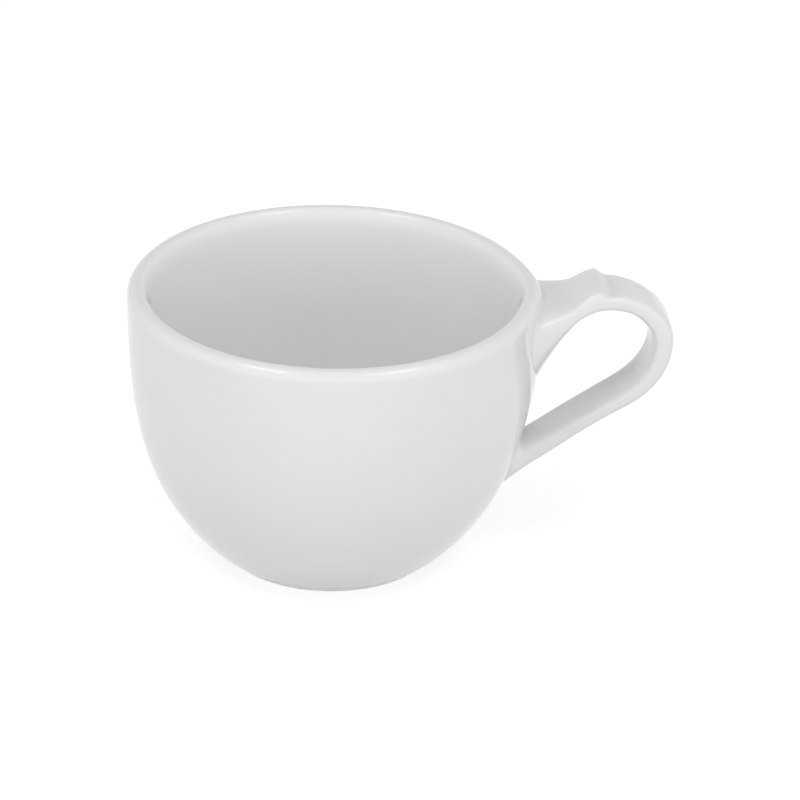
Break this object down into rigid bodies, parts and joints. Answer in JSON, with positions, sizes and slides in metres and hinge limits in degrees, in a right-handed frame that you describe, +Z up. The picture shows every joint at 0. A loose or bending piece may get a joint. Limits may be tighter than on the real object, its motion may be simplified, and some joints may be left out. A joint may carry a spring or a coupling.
{
  "type": "coffee cup",
  "caption": "Round-bellied porcelain coffee cup with a thick rounded lip, a low foot ring and a looped strap handle with a two-cornered thumb spur.",
  "frame": {"origin": "centre of the foot ring's standing face, on the table and on the bowl's axis", "axes": "+Z up along the bowl's axis, out of the mouth; +X from the axis towards the handle; +Y to the left of someone who looks along +X"},
  "size_m": [0.1148, 0.086, 0.0614],
  "materials": {
    "glazed_porcelain": "clear gloss glaze over white porcelain",
    "glazed_slip": "white slip under the same clear gloss glaze"
  },
  "bodies": {
    "root": {"bowl": "glazed_porcelain", "handle": "glazed_porcelain", "upper_slip_joint": "glazed_slip", "lower_slip_joint": "glazed_slip"}
  },
  "joints": []
}
